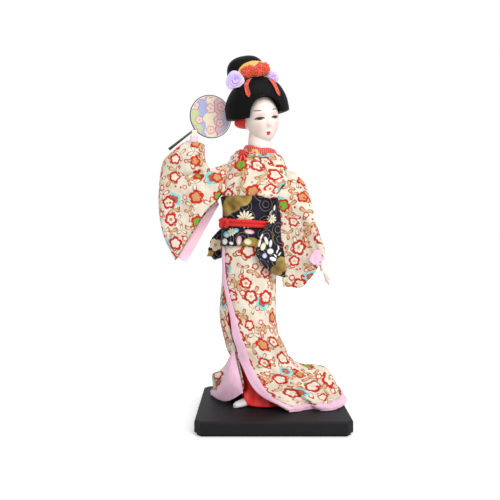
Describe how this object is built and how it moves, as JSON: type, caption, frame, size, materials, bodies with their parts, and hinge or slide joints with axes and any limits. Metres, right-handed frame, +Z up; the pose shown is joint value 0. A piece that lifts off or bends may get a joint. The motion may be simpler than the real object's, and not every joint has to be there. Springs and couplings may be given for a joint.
{
  "type": "geisha figurine",
  "caption": "Cloth-dressed geisha doll, 31 cm tall, in a printed long-sleeved robe with a train, holding a round fan, on a black plinth.",
  "frame": {"origin": "centre of the plinth's underside", "axes": "+Z up, -Y towards the viewer, +X to the doll's left"},
  "size_m": [0.1666, 0.1, 0.3102],
  "materials": {
    "lacquer": "semi-gloss black lacquer",
    "steel": "plain",
    "padding": "plain cotton",
    "print_cloth": "printed brocade, satin",
    "pink_lining": "pink satin",
    "red_silk": "red silk",
    "obi_brocade": "navy and gold brocade",
    "red_cord": "twisted cord",
    "skin": "white face paint, satin",
    "sock": "white cotton",
    "hair": "black silk floss",
    "comb_gold": "yellow gold",
    "orange_cloth": "crinkled crepe",
    "lilac_cloth": "ribbon satin",
    "fan_paper": "printed paper",
    "fan_lacquer": "gloss black"
  },
  "bodies": {
    "root": {"plinth": "lacquer", "stand_rod": "steel", "torso_core": "padding", "right_leg": "padding", "left_leg": "padding", "right_tabi": "sock", "left_tabi": "sock", "skirt": "print_cloth", "under_robe": "red_silk", "front_edge_facing": "pink_lining", "hem_facing": "pink_lining", "corner_flap": "pink_lining", "bodice": "print_cloth", "collar": "print_cloth", "red_collar": "red_silk", "right_sleeve": "print_cloth", "left_sleeve": "print_cloth", "right_arm": "padding", "left_arm": "padding", "right_sleeve_lining": "pink_lining", "right_cuff": "pink_lining", "left_cuff": "pink_lining", "right_hand": "skin", "left_hand": "skin", "obi": "obi_brocade", "obi_cord": "red_cord", "obi_puff": "orange_cloth", "obi_leaf": "obi_brocade", "obi_bow_left": "obi_brocade", "obi_bow_right": "obi_brocade", "obi_bow_knot": "obi_brocade", "head": "skin", "hair_hood": "hair", "hair_bun": "hair", "hair_nape": "hair", "comb": "comb_gold", "hair_cloth": "orange_cloth", "ribbon_right": "orange_cloth", "ribbon_left": "orange_cloth", "rose_right": "lilac_cloth", "rose_left": "lilac_cloth", "nape_cloth": "red_silk", "fan_leaf": "fan_paper", "fan_rim": "fan_lacquer", "fan_handle": "fan_lacquer"}
  },
  "joints": []
}
